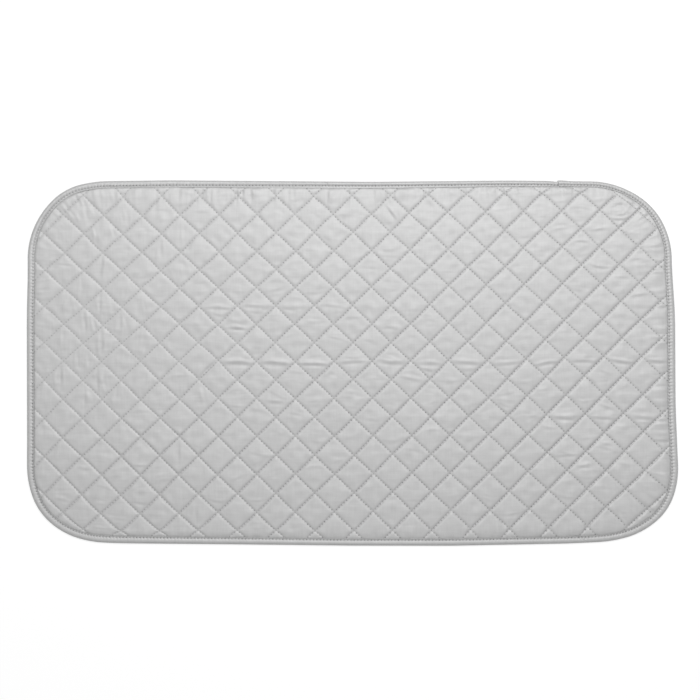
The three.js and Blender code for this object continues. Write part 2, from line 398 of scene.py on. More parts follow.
def mesh_object(name, points, faces, maps=None):
    """A smooth mesh with UV maps given for each point."""
    mesh = bpy.data.meshes.new(name)
    mesh.from_pydata(points.tolist(), [], faces.tolist())
    corner_points = np.zeros(len(mesh.loops), np.int32)
    mesh.loops.foreach_get("vertex_index", corner_points)
    for map_name, values in (maps or {}).items():
        layer = mesh.uv_layers.new(name=map_name)
        layer.uv.foreach_set("vector", values[corner_points].astype(np.float32).ravel())
    mesh.shade_smooth()
    mesh.update()
    return new_object(name, mesh)


def layer_between(name, grid, cut, top, bottom):
    """A closed layer between two heights over a grid, cut to the outline's inset."""
    x, y, u, v = grid
    x, y, quads = trimmed(x, y, cut)
    used, quads = np.unique(quads, return_inverse=True)
    quads = quads.reshape(-1, 4)
    x, y, u, v, top, bottom = (a.ravel()[used] for a in (x, y, u, v, top, bottom))
    count = len(used)
    start, end = quads.ravel(), np.roll(quads, -1, axis=1).ravel()
    at_rim = ~np.isin(start * count + end, end * count + start)
    start, end = start[at_rim], end[at_rim]
    rim = np.stack((start, start + count, end + count, end), axis=-1)
    faces = np.concatenate((quads, quads[:, ::-1] + count, rim))
    points = np.concatenate((np.stack((x, y, top), -1), np.stack((x, y, bottom), -1)))
    plan = np.tile(np.stack((x, y), -1), (2, 1))
    seams = np.tile(np.stack((u, v), -1), (2, 1))
    return mesh_object(name, points, faces, {"plan": plan, "seams": seams})


def finer(field):
    """Doubles a grid's steps, each new point from the four nearest along its line."""
    for axis in (0, 1):
        old = np.moveaxis(field, axis, 0)
        wide = np.concatenate((old[:1], old, old[-1:]))
        new = np.empty((2 * len(old) - 1,) + old.shape[1:])
        new[::2] = old
        new[1::2] = (9 * (wide[1:-2] + wide[2:-1]) - wide[:-3] - wide[3:]) / 16
        field = np.moveaxis(new, 0, axis)
    return field


# The top cover: sewn shape, slack cloth, folds

# Grid steps to a diamond's side and frames of the cloth simulation, how much longer and wider the cloth is
# than its seams, how far its slack may move it, and how uneven it starts
SIMULATED_STEPS = 6
SIMULATED_FRAMES = 20
SLACK_ALONG = 1.012
SLACK_ACROSS = 1.018
SLACK_LIMIT = 0.45 * MM
FIRST_UNEVENNESS = 0.12 * MM


def slack_of_cover():
    """How the cover's cloth, cut a little larger than its seams, settles between them: found by cloth
    simulation on a coarse grid."""
    x, y, u, v = seam_grid(SIMULATED_STEPS)
    height = quilted_height(x, y, u, v)
    x, y, quads = trimmed(x, y, COVER_CUT)
    used, faces = np.unique(quads, return_inverse=True)
    seed = np.random.default_rng(11)
    sewn = (pillow(u, v, 2) < 1e-6) | (inset_from_edge(x, y) < TAPE_REACH)
    start = np.stack((x, y, height), -1).reshape(-1, 3)[used]
    sewn = sewn.ravel()[used]
    rough = start.copy()
    rough[:, 2] += np.where(sewn, 0, seed.normal(0, FIRST_UNEVENNESS, len(used)))
    cloth = mesh_object("cover_cloth", rough, faces.reshape(-1, 4))
    pins = cloth.vertex_groups.new(name="sewn")
    pins.add(np.flatnonzero(sewn).tolist(), 1.0, "REPLACE")
    cloth.shape_key_add(name="laid")
    cut = cloth.shape_key_add(name="cut")
    cut.data.foreach_set("co", (start * (SLACK_ALONG, SLACK_ACROSS, 1)).astype(np.float32).ravel())
    cut.value = 0
    modifier = cloth.modifiers.new("settling", "CLOTH")
    settings = modifier.settings
    settings.quality = 6
    settings.mass = 0.02
    settings.tension_stiffness = 12
    settings.compression_stiffness = 12
    settings.shear_stiffness = 4
    settings.bending_stiffness = 0.02
    settings.vertex_group_mass = "sewn"
    settings.rest_shape_key = cut
    settings.use_pressure = True
    settings.uniform_pressure_force = 1.5
    settings.effector_weights.gravity = 0
    modifier.collision_settings.use_collision = False
    modifier.point_cache.frame_start = 1
    modifier.point_cache.frame_end = SIMULATED_FRAMES
    scene = bpy.context.scene
    for number in range(1, SIMULATED_FRAMES + 1):
        scene.frame_set(number)
    settled = cloth.evaluated_get(bpy.context.evaluated_depsgraph_get()).to_mesh()
    move = points_of(settled) - start
    reach = np.maximum(np.linalg.norm(move, axis=1, keepdims=True), 1e-9)
    move *= np.tanh(reach / SLACK_LIMIT) * SLACK_LIMIT / reach
    scene.frame_set(1)
    bpy.data.objects.remove(cloth)
    whole = np.zeros((x.size, 3))
    whole[used] = move
    return whole.reshape(x.shape + (3,))


# Where the cloth is crumpled: middle and reach along X and Y in millimetres, the folds' tilt from
# level in degrees, and their strength
CRUMPLED_PATCHES = (
    (-120, 63, 75, 25, 0, 1.0),
    (-328, 50, 35, 45, 90, 2.6),
    (-340, -30, 45, 30, 90, 2.6),
    (-335, 185, 45, 30, 110, 0.8),
    (-226, 150, 40, 30, 90, 0.4),
    (310, 165, 60, 30, 0, 1.4),
    (355, 208, 30, 18, 10, 2.4),
    (360, 105, 60, 25, 0, 0.9),
    (310, -68, 85, 25, 0, 1.3),
    (315, -140, 40, 30, 0, 1.4),
    (-60, -35, 70, 28, 0, 0.8),
    (60, -45, 80, 40, 0, 0.4),
    (-310, -180, 70, 30, 0, 1.0),
    (-150, -165, 60, 30, 0, 0.6),
    (-218, -150, 25, 50, 90, 0.6),
    (240, -160, 50, 40, 90, 0.4),
)

# The strength away from the patches, and from what strength on a patch turns a diamond's folds
PLAIN_STRENGTH = 0.33
LEAST_TURNING = 0.15
FOLDS_PER_DIAMOND = 5
DEEPEST_FOLD = 0.7 * MM
CRUMPLE_HEIGHT = 0.08 * MM

# Creases left by storage: where each starts and ends along X, where it lies along Y, and its depth, in
# millimetres; how near a diamond's middle has to be to be creased, and a crease's length in it
STORAGE_CREASES = (
    (-190, 425, 0, 0.9),
    (-200, -20, 73, 0.45),
    (205, 425, -73, 0.7),
)
CREASED_WITHIN = 0.4 * DIAMOND_WIDTH
CREASE_LENGTH = 18 * MM

# Folds that stand alone: their width and length, and the place, tilt and height of each, in millimetres
# and degrees
SINGLE_FOLD_WIDTH = 1.8 * MM
SINGLE_FOLD_LENGTH = 11 * MM
SINGLE_FOLDS = (
    (-187, -10, 45, -0.9), (-195, -46, 100, 0.7), (55, 199, -55, 1.1), (-31, 222, 90, -1.0),
    (-380, -23, 92, -0.8), (-332, -24, 90, -0.9), (-348, -48, 88, -0.7), (-350, 53, 93, -0.8),
    (-330, 75, 90, -0.7), (-303, 50, 90, -0.6), (-329, 126, 86, -0.7), (-327, 24, 90, -0.7),
    (-251, 149, 90, -0.5), (-353, 196, 100, 0.5), (-225, -120, 90, -0.6), (-201, -200, 90, -0.7),
)

# The valley in front of each fold's ridge: its share of the ridge's height, and how many of its widths away
VALLEY_SHARE = 0.7
VALLEY_OFFSET = 1.9

# Short gathers at the tape and wider waves behind them: their heights, their spacings along the edge, how
# far past the tape they reach, and how strong they are at eight even places round the outline from the
# middle of the front edge
GATHER_HEIGHT = 2.3 * MM
GATHER_SPACING = 3.8 * MM
WAVE_HEIGHT = 0.9 * MM
WAVE_SPACING = 13 * MM
GATHERS_REACH = 14 * MM
EDGE_GATHERS = (0.3, 0.5, 0.7, 0.7, 0.8, 0.45, 0.1, 0.25)


def fold_shape(away_x, away_y, tilt, place, bend, width, length):
    """A ridge with a shallow valley in front of it, fading towards both ends."""
    along = away_x * np.cos(tilt) + away_y * np.sin(tilt)
    across = away_y * np.cos(tilt) - away_x * np.sin(tilt) - place - bend * along ** 2
    ridge = bump(across, width) - VALLEY_SHARE * bump(across + VALLEY_OFFSET * width, width)
    return ridge * bump(along, length)


def diamond_folds(x, y, u, v):
    """The cover's folds: small ones in each diamond, more in the crumpled patches, longer ones from storage,
    and the few that stand alone."""
    seed = np.random.default_rng(23)
    numbers = np.arange(-LATTICE_REACH, LATTICE_REACH + 1) + 0.5
    middle_x, middle_y = lattice_place(*np.meshgrid(numbers, numbers, indexing="ij"))
    *patch, patch_tilt, patch_strength = np.array(CRUMPLED_PATCHES).T
    shift_x, shift_y = seam_shift(middle_x, middle_y)
    laid_x, laid_y = middle_x + shift_x, middle_y + shift_y
    weight = patch_strength * in_patch(laid_x[..., None], laid_y[..., None], *patch)
    strength = PLAIN_STRENGTH + weight.sum(axis=-1)
    turned = weight.max(axis=-1) > LEAST_TURNING
    tilt = np.where(turned, np.radians(patch_tilt)[weight.argmax(axis=-1)], 0)
    size = tilt.shape
    # For every diamond at once: a fold's tilt, place across, bend, width, length and depth
    folds = []
    for _ in range(FOLDS_PER_DIAMOND):
        folds.append((
            tilt + seed.normal(0, 0.17, size),
            seed.uniform(-12, 12, size) * MM,
            seed.normal(0, 0.008, size) / MM,
            seed.uniform(1.1, 2.0, size) * MM,
            seed.uniform(7, 15, size) * MM,
            np.minimum(strength * seed.exponential(0.16, size) * MM, DEEPEST_FOLD),
        ))
    for start_x, end_x, crease_y, depth in STORAGE_CREASES:
        crossed = np.abs(laid_y - crease_y * MM) < CREASED_WITHIN
        crossed &= (laid_x > start_x * MM) & (laid_x < end_x * MM)
        folds.append((
            seed.normal(0, 0.06, size),
            crease_y * MM - laid_y + seed.normal(0, 1.2, size) * MM,
            seed.uniform(-0.010, 0.002, size) / MM,
            seed.uniform(1.7, 2.6, size) * MM,
            np.full(size, CREASE_LENGTH),
            crossed * depth * seed.uniform(0.6, 1.2, size) * MM,
        ))
    diamond = diamond_of(u, v)
    away_x, away_y = x - middle_x[diamond], y - middle_y[diamond]
    total = np.zeros_like(x)
    for *shape, depth in folds:
        total += depth[diamond] * fold_shape(away_x, away_y, *(values[diamond] for values in shape))
    crumple = CRUMPLE_HEIGHT * strength[diamond] * soft_noise(x, y, 8 * MM, 3.6 * MM, 7)
    total = (total + crumple) * pillow(u, v, 6)
    shift_x, shift_y = seam_shift(x, y)
    for fold_x, fold_y, fold_tilt, height in SINGLE_FOLDS:
        away_x, away_y = x + shift_x - fold_x * MM, y + shift_y - fold_y * MM
        shape = math.radians(fold_tilt), 0, 0, SINGLE_FOLD_WIDTH, SINGLE_FOLD_LENGTH
        total += height * MM * fold_shape(away_x, away_y, *shape)
    return total


def edge_puckers(x, y):
    """Short gathers where the binding draws the cover in, and wider waves behind them."""
    inset = inset_from_edge(x, y)
    along = distance_along_edge(x, y)
    past_tape = inset - tape_reach(along)
    patchy = 0.8 + 0.35 * soft_noise(along, inset, 34 * MM, 60 * MM, 33)
    gathers = GATHER_HEIGHT * patchy * soft_noise(along, inset, GATHER_SPACING, 22 * MM, 31)
    waves = WAVE_HEIGHT * soft_noise(along, inset, WAVE_SPACING, 15 * MM, 32)
    free = smooth_step((past_tape + 1 * MM) / (5 * MM)) * np.exp(-np.maximum(past_tape, 0) / GATHERS_REACH)
    return edge_value(along, EDGE_GATHERS) * free * (gathers + waves)


def make_layers():
    """The cover, batting and backing, which the quilting holds together."""
    slack = slack_of_cover()
    slack_x, slack_y, slack_z = np.moveaxis(finer(finer(slack)), -1, 0)
    x, y, u, v = seam_grid(4 * SIMULATED_STEPS)
    top = quilted_height(x, y, u, v) + slack_z
    top = top + field_share(x, y) * diamond_folds(x, y, u, v) + edge_puckers(x, y)
    top = np.minimum(top, CROWN_LIMIT_Z)
    slackened = x + slack_x, y + slack_y, u, v
    cover = layer_between("top_cover", slackened, COVER_CUT, top, top - CLOTH_THICKNESS)

    grid = seam_grid(2 * SIMULATED_STEPS)
    under = underside_height(*grid)
    backing = layer_between("backing", grid, COVER_CUT, under + CLOTH_THICKNESS, under)

    # The batting keeps under the lowest of the cover's nine nearest points
    lowest = np.minimum.reduce([np.roll(top, (i, j), (0, 1)) for i in (-1, 0, 1) for j in (-1, 0, 1)])
    floor = under + CLOTH_THICKNESS + LAYER_GAP
    ceiling = np.maximum(lowest[::2, ::2] - CLOTH_THICKNESS - LAYER_GAP, floor + THINNEST_BATTING)
    batting = layer_between("batting", grid, BATTING_CUT, ceiling, floor)
    return cover, batting, backing


# Corners of the binding tape's section before its inner part is laid on the cover: inset from the edge and
# height, in millimetres, and the share of a gather's lift that each takes
TAPE_SECTION = (
    (9.0, 2.20, 0.1), (9.3, 2.40, 0.5), (8.9, 2.62, 0.8), (8.2, 2.60, 0.6), (7.6, 2.53, 0.4),
    (7.0, 2.50, 0.3), (6.4, 2.85, 0.4), (5.6, 3.45, 0.5), (4.4, 3.95, 0.6), (3.0, 3.95, 0.6),
    (1.7, 3.40, 0.4), (0.8, 2.60, 0.2), (0.2, 1.75, 0.0), (0.0, 1.20, 0.0), (0.25, 0.65, 0.0),
    (0.9, 0.30, 0.0), (2.2, 0.06, 0.0), (6.1, 0.10, 0.0), (7.0, 0.30, 0.0), (7.9, 0.10, 0.0),
    (8.7, 0.04, 0.0), (9.2, 0.30, 0.0), (9.0, 0.60, 0.0), (7.8, 0.62, 0.0), (1.4, 0.90, 0.0),
    (0.8, 1.65, 0.0), (1.6, 2.55, 0.0), (5.2, 2.90, 0.0), (6.5, 2.15, 0.0), (7.5, 2.15, 0.0),
    (8.3, 2.17, 0.2),
)

# How many of the corners are seen from above, where the stitches run in the section, how many steps it has
# to a corner and along the tape to a stitch, how much of a sink its lip follows, and how high it gathers
SEEN_CORNERS = 12
SECTION_STITCH = 7.0 * MM
SECTION_STEPS = 2
STATIONS_PER_STITCH = 4
LIP_GIVE = 0.3
TAPE_GATHER = 0.13 * MM

# The lapped join in the rear edge: the end on top stands up and out, and the tape beside it dips and sinks
LAP_AT = OUTLINE_LENGTH / 2 - 275 * MM
LAP_SLANT = 0.2
LAP_LENGTH = 22 * MM
LAP_FADE = 18 * MM
LAP_STEP_WIDTH = 0.8 * MM
LAP_RISE = 0.7 * MM
LAP_STEP_OUT = 0.9 * MM
LAP_DIP_REACH = 8 * MM
LAP_DIP = 0.9 * MM
LAP_SINK = 0.8 * MM

# The slanted piecing seam in the front edge, and a pinch in the rear edge
PIECING_AT = 296 * MM
PIECING_SLANT = 1.6
PIECING_WIDTH = 0.8 * MM
PIECING_DEPTH = 0.5 * MM
PIECING_RISE = 0.4 * MM
PIECING_REACH = 6 * MM
PINCH_AT = OUTLINE_LENGTH / 2 + 31 * MM
PINCH_WIDTH = 0.7 * MM
PINCH_DEPTH = 1.0 * MM

# How high the tape stands between its needle holes, and how far to each side, along the front, right,
# rear and left edges, and where its stitches lie loose and high, at eight places, in millimetres
ROPE_HEIGHTS = (0.6, 1.4, 0.5, 1.2)
ROPE_REACHES = (1.7, 3.5, 2.4, 2.2)
LOOSE_RISES = (0.0, 0.1, 0.7, 0.2, 0.0, 0.9, 0.4, 0.4)
LOOSE_REACH = 1.3 * MM

# The rear left corner, where the tape's stitches are drawn in hard, by this many millimetres
TIGHT_STITCHES_AT = 1665 * MM
TIGHT_STITCHES_REACH = 55 * MM
TIGHT_STITCHES_SINK = 0.5


def rounded_loop(corners, steps):
    """Points of a closed smooth curve through the corners."""
    before, after, next_after = (np.roll(corners, n, axis=0) for n in (1, -1, -2))
    rows = []
    for t in np.arange(steps) / steps:
        rows.append(0.5 * (
            2 * corners + (after - before) * t
            + (2 * before - 5 * corners + 4 * after - next_after) * t ** 2
            + (3 * corners - before - 3 * after + next_after) * t ** 3
        ))
    return np.stack(rows, axis=1).reshape(-1, corners.shape[1])


def tape_surface(along, nominal, level, lift):
    """The tape's points from its section's insets, heights and lifts: their plan, their height and how far
    in they lie from the row of stitches."""
    stitched, reach = tape_stitch_inset(along), tape_reach(along)
    past = (nominal - SECTION_STITCH) * (reach - stitched) / (TAPE_REACH - SECTION_STITCH)
    inset = stitched + np.where(nominal < SECTION_STITCH, (nominal / SECTION_STITCH - 1) * stitched, past)
    past_lap = along - LAP_AT + LAP_SLANT * inset
    over_lap = smooth_step((LAP_LENGTH + past_lap) / LAP_FADE) * smooth_step(0.5 - past_lap / LAP_STEP_WIDTH)
    beside_lap = bump(past_lap, LAP_DIP_REACH) * smooth_step(0.5 + past_lap / LAP_STEP_WIDTH)
    inset = inset + (LAP_DIP * beside_lap - LAP_STEP_OUT * over_lap) * (1 - inset / reach)
    off_row = inset - stitched
    x, y = outline_at(along, inset)

    # The lip rests on the cover and gives way less than the rest where the tape is drawn down
    on_cover = (nominal > SECTION_STITCH) & (level > UNDER_TAPE_Z)
    give = np.where(on_cover, LIP_GIVE, 1)
    height = level + np.where(on_cover, fullest_height(x, y) - UNDER_TAPE_Z, 0)

    gather = np.sin(along / (1.3 * MM) + 2 * np.sin(along / (17 * MM))) + 0.8 * np.sin(along / (3.1 * MM))
    tight = bump(along - TIGHT_STITCHES_AT, TIGHT_STITCHES_REACH)
    between_holes = 0.5 - 0.5 * np.cos(2 * math.pi * along / TAPE_STITCH_PITCH)
    rope = between_holes * bump(off_row, edge_value(along, ROPE_REACHES) * MM)
    rope = rope * (1 - 0.7 * tight) * edge_value(along, ROPE_HEIGHTS) * MM
    loose = (edge_value(along, LOOSE_RISES) * (1 - tight) - TIGHT_STITCHES_SINK * tight * give) * MM
    loose = loose * bump(off_row, LOOSE_REACH)
    pinch = PINCH_DEPTH * bump(along - PINCH_AT, PINCH_WIDTH) * give
    piecing = along - PIECING_AT + PIECING_SLANT * off_row
    groove = PIECING_DEPTH * bump(piecing, PIECING_WIDTH)
    thicker = smooth_step(0.5 + piecing / MM) * np.exp(-np.maximum(piecing, 0) / PIECING_REACH)
    height = height + TAPE_GATHER * gather * lift
    height = height + (rope + loose + LAP_RISE * over_lap) * np.minimum(1, lift * 3)
    height = height + (PIECING_RISE * thicker - groove - pinch) * np.minimum(1, lift * 2)
    height = height - LAP_SINK * beside_lap * np.clip(lift * 4 - 1, 0, 1)
    return x, y, height, off_row


def make_binding():
    """The tape folded over the raw edge: lapped where its ends meet at the rear, pieced once at the front."""
    section = rounded_loop(np.array(TAPE_SECTION), SECTION_STEPS) * (MM, MM, 1)
    seen = SEEN_CORNERS * SECTION_STEPS
    section = np.concatenate((section[:seen], section[seen::SECTION_STEPS]))
    # Stations along the tape, closer at the lap, the piecing seam and the pinch
    stations = np.unique(np.concatenate((
        np.arange(0, OUTLINE_LENGTH - TAPE_STITCH_PITCH / 8, TAPE_STITCH_PITCH / STATIONS_PER_STITCH),
        LAP_AT + np.linspace(-2.4, 0.6, 13) * MM,
        PIECING_AT + np.linspace(-2, 13, 26) * MM,
        PINCH_AT + np.linspace(-3, 3, 13) * MM,
    )))
    along, nominal = np.meshgrid(stations, section[:, 0], indexing="ij")
    level, lift = (np.tile(part, (len(stations), 1)) for part in section.T[1:])
    x, y, height, off_row = tape_surface(along, nominal, level, lift)
    points = np.stack((x, y, height), -1).reshape(-1, 3)
    index = np.arange(len(points)).reshape(along.shape)
    ahead, beside = np.roll(index, -1, axis=0), np.roll(index, -1, axis=1)
    corner = np.roll(ahead, -1, axis=1)
    faces = np.stack((index, ahead, corner, beside), axis=-1).reshape(-1, 4)
    steps = np.linalg.norm(np.diff(section[:, :2], axis=0, append=section[:1, :2]), axis=1)
    across = np.tile(np.cumsum(steps), (len(stations), 1))
    plan = np.stack((along, across), -1).reshape(-1, 2)
    counted = along / TAPE_STITCH_PITCH / STITCHES_PER_SIDE
    seams = np.stack((off_row / DIAMOND_SIDE, counted), -1).reshape(-1, 2)
    return mesh_object("binding", points, faces, {"plan": plan, "seams": seams})


# Stitches

THREAD_WIDTH = 0.6 * MM
QUILTING_STITCH = 0.8 * STITCH_PITCH
TAPE_STITCH = 0.75 * TAPE_STITCH_PITCH
SEWN_UNDER_TAPE = 0.5 * MM
DROP_HEIGHT = 20 * MM


def add_node(tree, kind, inputs=None, **settings):
    """Adds a node, sets its properties, and fills or links its inputs; a whole node that is given for an
    input is linked by its first output."""
    node = tree.nodes.new(kind)
    for name, value in settings.items():
        setattr(node, name, value)
    for name, value in (inputs or {}).items():
        if isinstance(value, bpy.types.Node):
            value = value.outputs[0]
        if isinstance(value, bpy.types.NodeSocket):
            tree.links.new(value, node.inputs[name])
        else:
            node.inputs[name].default_value = value
    return node


def stitch_tree():
    """A stitch at each point of the rows, set down on the cloth: an arch of thread that dips at both ends."""
    tree = bpy.data.node_groups.new("stitches", "GeometryNodeTree")
    for name, kind in (
        ("Rows", "Geometry"),
        ("Cloth", "Object"),
        ("Stitch Length", "Float"),
        ("Thread Width", "Float"),
        ("Side", "Float"),
        ("Thread", "Material"),
    ):
        tree.interface.new_socket(name, in_out="INPUT", socket_type="NodeSocket" + kind)
    tree.interface.new_socket("Stitches", in_out="OUTPUT", socket_type="NodeSocketGeometry")
    add = partial(add_node, tree)
    given = add("NodeGroupInput").outputs
    rows = add("GeometryNodeMeshToCurve", {"Mesh": given["Rows"]})
    points = add("GeometryNodeCurveToPoints", {"Curve": rows}, mode="EVALUATED")

    # Each point is taken off the cloth, to the side that it is sewn from, and dropped back onto it
    out_of_cloth = add("ShaderNodeCombineXYZ", {"Z": given["Side"]})
    into_cloth = add("ShaderNodeVectorMath", {0: out_of_cloth, "Scale": -1.0}, operation="SCALE")
    taken_off = add("ShaderNodeVectorMath", {0: out_of_cloth, "Scale": DROP_HEIGHT}, operation="SCALE")
    place = add("GeometryNodeInputPosition")
    start = add("ShaderNodeVectorMath", {0: place, 1: taken_off}, operation="ADD")
    cloth = add("GeometryNodeObjectInfo", {"Object": given["Cloth"]})
    landing = add("GeometryNodeRaycast", {
        "Target Geometry": cloth.outputs["Geometry"],
        "Source Position": start,
        "Ray Direction": into_cloth,
        "Ray Length": 2 * DROP_HEIGHT,
    })
    seated = add("GeometryNodeSetPosition", {
        "Geometry": points.outputs["Points"],
        "Position": landing.outputs["Hit Position"],
    })

    length, width = given["Stitch Length"], given["Thread Width"]
    back, ahead, dip, rise, radius = (
        add("ShaderNodeMath", {0: size, 1: share}, operation="MULTIPLY")
        for size, share in ((length, -0.5), (length, 0.5), (width, -0.45), (width, 0.75), (width, 0.5))
    )
    first = add("ShaderNodeCombineXYZ", {"X": back, "Z": dip})
    top = add("ShaderNodeCombineXYZ", {"Z": rise})
    last = add("ShaderNodeCombineXYZ", {"X": ahead, "Z": dip})
    arch = add("GeometryNodeCurveQuadraticBezier", {
        "Resolution": 3, "Start": first, "Middle": top, "End": last,
    })
    ring = add("GeometryNodeCurvePrimitiveCircle", {"Resolution": 5, "Radius": radius})
    stitch = add("GeometryNodeCurveToMesh", {"Curve": arch, "Profile Curve": ring, "Fill Caps": True})
    heading = add("FunctionNodeAxesToRotation", {
        "Primary Axis": points.outputs["Tangent"], "Secondary Axis": out_of_cloth,
    }, primary_axis="X", secondary_axis="Z")
    copies = add("GeometryNodeInstanceOnPoints", {"Points": seated, "Instance": stitch, "Rotation": heading})
    real = add("GeometryNodeRealizeInstances", {0: copies})
    finished = add("GeometryNodeSetMaterial", {0: real, "Material": given["Thread"]})
    add("NodeGroupOutput", {0: finished})
    return tree


def sew(name, rows, tree, inputs):
    """Runs the stitch tree over rows of points and leaves a plain mesh."""
    points = [tuple(point) for row in rows for point in row]
    edges = []
    for row in rows:
        first = edges[-1][1] + 1 if edges else 0
        edges += [(first + n, first + n + 1) for n in range(len(row) - 1)]
    drawn = bpy.data.meshes.new(name + "_rows")
    drawn.from_pydata(points, edges, [])
    piece = new_object(name, drawn)
    modifier = piece.modifiers.new("sewing", "NODES")
    modifier.node_group = tree
    for socket in tree.interface.items_tree:
        if socket.in_out == "INPUT" and socket.name in inputs:
            modifier[socket.identifier] = inputs[socket.name]
    made = bpy.data.meshes.new_from_object(piece.evaluated_get(bpy.context.evaluated_depsgraph_get()))
    piece.modifiers.clear()
    piece.data = made
    bpy.data.meshes.remove(drawn)
    made.polygons.foreach_set("use_smooth", np.ones(len(made.polygons), bool))
    return piece


def quilting_rows(rear):
    """The middles of each seam's stitches on one half of the pad, with the last ones just under the tape."""
    rows = []
    stitches = np.arange(-LATTICE_REACH * STITCHES_PER_SIDE, LATTICE_REACH * STITCHES_PER_SIDE)
    middles = (stitches + 0.5) / STITCHES_PER_SIDE
    for number in range(-LATTICE_REACH, LATTICE_REACH + 1):
        seam = np.full_like(middles, number)
        for x, y in (lattice_place(seam, middles), lattice_place(middles, seam)):
            past_tape = inset_from_edge(x, y) - tape_reach(distance_along_edge(x, y))
            sewn = (past_tape > -SEWN_UNDER_TAPE) & ((y > 0) == rear)
            if sewn.sum() > 1:
                rows.append(np.stack((x, y, np.zeros_like(x)), -1)[sewn])
    return rows


def binding_row():
    """The middles of the stitches in the one row round the tape."""
    along = (np.arange(round(OUTLINE_LENGTH / TAPE_STITCH_PITCH)) + 0.5) * TAPE_STITCH_PITCH
    x, y = outline_at(along, tape_stitch_inset(along))
    return [np.stack((x, y, np.zeros_like(x)), -1)]


# Materials

# Needle holes, with painted shade and a dent in the relief: how far from its middle a hole is at its darkest
# and how far it shows, and where along X, towards the pad's left, the holes are faintest
HOLE_RADIUS = 0.4 * MM
HOLE_FADE = 1.3 * MM
FAINTEST_HOLES_X = -400 * MM


def linear(colour):
    """Linear RGBA of an sRGB hex colour."""
    parts = [int(colour[n:n + 2], 16) / 255 for n in (1, 3, 5)]
    return [c / 12.92 if c <= 0.04045 else ((c + 0.055) / 1.055) ** 2.4 for c in parts] + [1.0]


def new_material(name):
    """An empty material, and what adds a node to it."""
    material = bpy.data.materials.new(name)
    material.use_nodes = True
    material.node_tree.nodes.clear()
    return material, partial(add_node, material.node_tree)


def add_surface(add, colours, roughness, metallic=0.0, relief=None):
    """Ends a material with its shader: its colours are given as how they mix, the first and the second,
    and its relief, where it has one, as its height, strength and depth."""
    mix, first, second = colours
    colour = add("ShaderNodeMix", {"Factor": mix, "A": first, "B": second}, data_type="RGBA")
    shader = {"Base Color": colour.outputs["Result"], "Roughness": roughness, "Metallic": metallic}
    if relief:
        height, strength, depth = relief
        raised = {"Height": height, "Strength": strength, "Distance": depth}
        shader["Normal"] = add("ShaderNodeBump", raised)
    add("ShaderNodeOutputMaterial", {0: add("ShaderNodeBsdfPrincipled", shader)})


def wave_scale(spacing):
    """The scale of a Wave Texture's bands for a spacing in metres."""
    return 2 * math.pi / (20 * spacing)


def woven(add, plan, spacing, operation):
    """The relief of warp and weft threads at a spacing, put together by a Math node's operation."""
    threads = {"Vector": plan, "Scale": wave_scale(spacing)}
    warp, weft = (add("ShaderNodeTexWave", threads, bands_direction=axis).outputs["Fac"] for axis in "XY")
    return add("ShaderNodeMath", {0: warp, 1: weft}, operation=operation)


def needle_holes(add, across, along):
    """1 in a needle hole and 0 a little away from it, from the seams map's two parts: where the hole's shade
    is painted and its dent sunk.
    """
    off_seam = add("ShaderNodeMath", {0: across, 1: 0.5}, operation="PINGPONG")
    stitches = add("ShaderNodeMath", {0: along, 1: STITCHES_PER_SIDE}, operation="MULTIPLY")
    off_hole = add("ShaderNodeMath", {0: stitches, 1: 0.5}, operation="PINGPONG")
    off_hole = add("ShaderNodeMath", {0: off_hole, 1: STITCHES_PER_SIDE}, operation="DIVIDE")
    away = add("ShaderNodeCombineXYZ", {0: off_seam, 1: off_hole})
    away = add("ShaderNodeVectorMath", {0: away}, operation="LENGTH").outputs["Value"]
    return add("ShaderNodeMapRange", {
        "Value": away, "From Min": HOLE_RADIUS / DIAMOND_SIDE, "From Max": HOLE_FADE / DIAMOND_SIDE,
        "To Min": 1.0, "To Max": 0.0,
    }, interpolation_type="SMOOTHSTEP")


